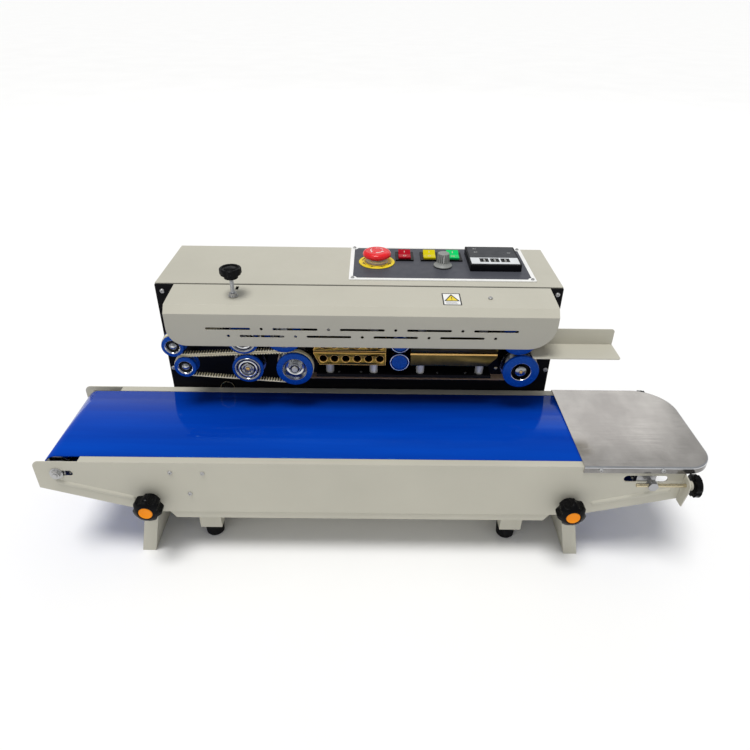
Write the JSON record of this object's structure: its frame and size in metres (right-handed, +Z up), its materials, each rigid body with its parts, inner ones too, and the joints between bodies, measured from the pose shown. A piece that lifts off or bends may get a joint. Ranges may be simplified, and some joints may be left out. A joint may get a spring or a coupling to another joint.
{
  "type": "continuous band sealer",
  "caption": "Tabletop continuous band sealer: conveyor, paired seal belts with heater and cooling blocks, drive head, control panel, feed tray and adjustable legs.",
  "frame": {"origin": "middle of the whole machine's plan, on the surface it stands on", "axes": "+X along the conveyor towards the feed tray, +Y towards the head and its back, +Z up"},
  "size_m": [0.846, 0.337, 0.358],
  "materials": {
    "beige_paint": "fine-textured powder coat, satin",
    "black_plate": "satin black powder coat",
    "belt_blue": "glossy polyurethane-faced conveyor belt",
    "stainless": "brushed and polished stainless sheet",
    "zinc_steel": "zinc-plated steel",
    "chrome": "bright turned steel",
    "blue_wheel": "blue anodised wheel",
    "brass": "milled brass",
    "brown_ptfe": "PTFE-coated glass cloth",
    "cream_belt": "polyurethane timing belt",
    "rubber": "moulded black rubber",
    "black_plastic": "moulded black nylon",
    "panel_white": "printed panel plate",
    "controller_black": "moulded controller case",
    "estop_red": "glossy moulded red",
    "estop_yellow": "yellow legend disc",
    "rocker_red": "lit red lens",
    "rocker_yellow": "lit yellow lens",
    "rocker_green": "lit green lens",
    "knob_grey": "moulded grey knob",
    "gear_steel": "cut steel",
    "motor_grey": "cast gearbox and motor body",
    "drum_rubber": "rubber-lagged drum"
  },
  "bodies": {
    "root": {"base_pan": "beige_paint", "foot_rails": "beige_paint", "rubber_feet": "rubber", "head_housing": "beige_paint", "main_plate": "black_plate", "front_cover": "beige_paint", "fasteners": "zinc_steel", "control_panel": "panel_white", "estop_base": "estop_yellow", "panel_sockets": "black_plastic", "temperature_controller": "controller_black", "seal_belts": "brown_ptfe", "guide_belts": "cream_belt", "heater_blocks": "brass", "cooling_blocks": "brass", "mechanism_brackets": "zinc_steel", "bag_guide": "beige_paint", "bearing_bushes": "zinc_steel", "gear_motor": "motor_grey", "blower_housing": "black_plastic", "power_inlet": "black_plastic", "front_side_plate": "beige_paint", "back_side_plate": "beige_paint", "belt_bed": "zinc_steel", "conveyor_belt": "belt_blue", "feed_tray": "stainless", "roller_blocks": "zinc_steel", "drive_chain": "gear_steel"},
    "lower_drive": {"lower_drive_wheel": "blue_wheel", "lower_drive_gear": "gear_steel"},
    "upper_drive": {"upper_drive_wheel": "blue_wheel", "upper_drive_gear": "gear_steel"},
    "pinion": {"motor_pinion": "gear_steel"},
    "lower_inlet": {"lower_inlet_wheel": "blue_wheel"},
    "upper_inlet": {"upper_inlet_wheel": "blue_wheel"},
    "lower_guide": {"lower_guide_pulley": "blue_wheel"},
    "upper_guide": {"upper_guide_pulley": "blue_wheel"},
    "lower_emboss": {"lower_emboss_wheel": "chrome"},
    "upper_emboss": {"upper_emboss_wheel": "chrome"},
    "lower_press": {"lower_press_roller": "blue_wheel"},
    "upper_press": {"upper_press_roller": "blue_wheel"},
    "drum": {"drive_drum": "drum_rubber"},
    "left_roller": {"left_end_roller": "chrome"},
    "right_roller": {"right_end_roller": "chrome"},
    "fan": {"fan_impeller": "black_plastic"},
    "estop": {"estop_button": "estop_red"},
    "rocker_power_body": {"rocker_power": "rocker_red"},
    "rocker_heater_body": {"rocker_heater": "rocker_yellow"},
    "rocker_fan_body": {"rocker_fan": "rocker_green"},
    "speed_knob_body": {"speed_knob": "knob_grey"},
    "thumbwheel_left_body": {"thumbwheel_left": "black_plastic"},
    "thumbwheel_middle_body": {"thumbwheel_middle": "black_plastic"},
    "thumbwheel_right_body": {"thumbwheel_right": "black_plastic"},
    "pressure_knob_body": {"pressure_knob": "black_plastic"},
    "front_take_up": {"front_take_up_screw": "black_plastic"},
    "back_take_up": {"back_take_up_screw": "black_plastic"},
    "left_leg_body": {"left_leg": "beige_paint"},
    "right_leg_body": {"right_leg": "beige_paint"},
    "left_knob": {"left_leg_knob": "black_plastic"},
    "right_knob": {"right_leg_knob": "black_plastic"}
  },
  "joints": [
    {"name": "lower_drive_spin", "type": "hinge", "parent": "root", "child": "lower_drive", "pos_m": [-0.108, 0.0075, 0.2249], "axis": [0, 1, 0], "continuous": true},
    {"name": "upper_drive_spin", "type": "hinge", "parent": "root", "child": "upper_drive", "pos_m": [-0.12, 0.0075, 0.2751], "axis": [0, 1, 0], "continuous": true},
    {"name": "pinion_spin", "type": "hinge", "parent": "root", "child": "pinion", "pos_m": [-0.08146, 0.0475, 0.19327], "axis": [0, 1, 0], "continuous": true},
    {"name": "lower_inlet_spin", "type": "hinge", "parent": "root", "child": "lower_inlet", "pos_m": [0.193, 0.0075, 0.2249], "axis": [0, 1, 0], "continuous": true},
    {"name": "upper_inlet_spin", "type": "hinge", "parent": "root", "child": "upper_inlet", "pos_m": [0.186, 0.0075, 0.2751], "axis": [0, 1, 0], "continuous": true},
    {"name": "lower_guide_spin", "type": "hinge", "parent": "root", "child": "lower_guide", "pos_m": [-0.253, 0.0075, 0.226], "axis": [0, 1, 0], "continuous": true},
    {"name": "upper_guide_spin", "type": "hinge", "parent": "root", "child": "upper_guide", "pos_m": [-0.265, 0.0075, 0.257], "axis": [0, 1, 0], "continuous": true},
    {"name": "lower_emboss_spin", "type": "hinge", "parent": "root", "child": "lower_emboss", "pos_m": [-0.17, 0.0075, 0.225], "axis": [0, 1, 0], "continuous": true},
    {"name": "upper_emboss_spin", "type": "hinge", "parent": "root", "child": "upper_emboss", "pos_m": [-0.173, 0.0075, 0.2685], "axis": [0, 1, 0], "continuous": true},
    {"name": "lower_press_spin", "type": "hinge", "parent": "root", "child": "lower_press", "pos_m": [0.031, 0.0075, 0.2362], "axis": [0, 1, 0], "continuous": true},
    {"name": "upper_press_spin", "type": "hinge", "parent": "root", "child": "upper_press", "pos_m": [0.031, 0.0075, 0.2638], "axis": [0, 1, 0], "continuous": true},
    {"name": "drum_spin", "type": "hinge", "parent": "root", "child": "drum", "pos_m": [-0.235, -0.0585, 0.13], "axis": [0, 1, 0], "continuous": true},
    {"name": "left_roller_spin", "type": "hinge", "parent": "root", "child": "left_roller", "pos_m": [-0.398, -0.0585, 0.1408], "axis": [0, 1, 0], "continuous": true},
    {"name": "right_roller_spin", "type": "hinge", "parent": "root", "child": "right_roller", "pos_m": [0.34, -0.0585, 0.1408], "axis": [0, 1, 0], "continuous": true},
    {"name": "fan_spin", "type": "hinge", "parent": "root", "child": "fan", "pos_m": [0.125, 0.0775, 0.15], "axis": [0, 1, 0], "continuous": true},
    {"name": "estop_press", "type": "slide", "parent": "root", "child": "estop", "axis": [0, 0, -1], "range_m": [0, 0.004]},
    {"name": "rocker_power_tilt", "type": "hinge", "parent": "root", "child": "rocker_power_body", "pos_m": [0.04, 0.1265, 0.3236], "axis": [-1, 0, 0], "range_deg": [0, 18]},
    {"name": "rocker_heater_tilt", "type": "hinge", "parent": "root", "child": "rocker_heater_body", "pos_m": [0.076, 0.1265, 0.3236], "axis": [-1, 0, 0], "range_deg": [0, 18]},
    {"name": "rocker_fan_tilt", "type": "hinge", "parent": "root", "child": "rocker_fan_body", "pos_m": [0.11, 0.1265, 0.3236], "axis": [-1, 0, 0], "range_deg": [0, 18]},
    {"name": "speed_knob_turn", "type": "hinge", "parent": "root", "child": "speed_knob_body", "pos_m": [0.093, 0.0935, 0.33], "axis": [0, 0, 1], "range_deg": [-135, 135]},
    {"name": "thumbwheel_left_turn", "type": "hinge", "parent": "root", "child": "thumbwheel_left_body", "pos_m": [0.1505, 0.093, 0.3251], "axis": [1, 0, 0], "continuous": true},
    {"name": "thumbwheel_middle_turn", "type": "hinge", "parent": "root", "child": "thumbwheel_middle_body", "pos_m": [0.1653, 0.093, 0.3251], "axis": [1, 0, 0], "continuous": true},
    {"name": "thumbwheel_right_turn", "type": "hinge", "parent": "root", "child": "thumbwheel_right_body", "pos_m": [0.1801, 0.093, 0.3251], "axis": [1, 0, 0], "continuous": true},
    {"name": "pressure_knob_turn", "type": "hinge", "parent": "root", "child": "pressure_knob_body", "pos_m": [-0.184, -0.0025, 0.34], "axis": [0, 0, 1], "range_deg": [-360, 360]},
    {"name": "front_take_up_turn", "type": "hinge", "parent": "root", "child": "front_take_up", "pos_m": [0.355, -0.1515, 0.1384], "axis": [1, 0, 0], "range_deg": [-720, 720]},
    {"name": "back_take_up_turn", "type": "hinge", "parent": "root", "child": "back_take_up", "pos_m": [0.355, 0.0345, 0.1384], "axis": [1, 0, 0], "range_deg": [-720, 720]},
    {"name": "left_leg_slide", "type": "slide", "parent": "root", "child": "left_leg_body", "axis": [0.213, 0, 0.977], "range_m": [0, 0.02]},
    {"name": "right_leg_slide", "type": "slide", "parent": "root", "child": "right_leg_body", "axis": [-0.213, 0, 0.977], "range_m": [0, 0.02]},
    {"name": "left_knob_turn", "type": "hinge", "parent": "root", "child": "left_knob", "pos_m": [-0.286, -0.1425, 0.098], "axis": [0, 1, 0], "range_deg": [-360, 0]},
    {"name": "right_knob_turn", "type": "hinge", "parent": "root", "child": "right_knob", "pos_m": [0.249, -0.1425, 0.097], "axis": [0, 1, 0], "range_deg": [-360, 0]}
  ],
  "couplings": [
    {"joint": "upper_drive_spin", "follows": "lower_drive_spin", "ratio": -1},
    {"joint": "pinion_spin", "follows": "lower_drive_spin", "ratio": -1.6667},
    {"joint": "lower_inlet_spin", "follows": "lower_drive_spin", "ratio": 1},
    {"joint": "upper_inlet_spin", "follows": "lower_drive_spin", "ratio": -1},
    {"joint": "lower_guide_spin", "follows": "lower_drive_spin", "ratio": 1.6738},
    {"joint": "upper_guide_spin", "follows": "lower_drive_spin", "ratio": -1.6738},
    {"joint": "lower_emboss_spin", "follows": "lower_drive_spin", "ratio": 1.1737},
    {"joint": "upper_emboss_spin", "follows": "lower_drive_spin", "ratio": -1.1737},
    {"joint": "lower_press_spin", "follows": "lower_drive_spin", "ratio": 1.8769},
    {"joint": "upper_press_spin", "follows": "lower_drive_spin", "ratio": -1.8769},
    {"joint": "drum_spin", "follows": "lower_drive_spin", "ratio": 1},
    {"joint": "left_roller_spin", "follows": "lower_drive_spin", "ratio": 1.4788},
    {"joint": "right_roller_spin", "follows": "lower_drive_spin", "ratio": 1.4788}
  ]
}
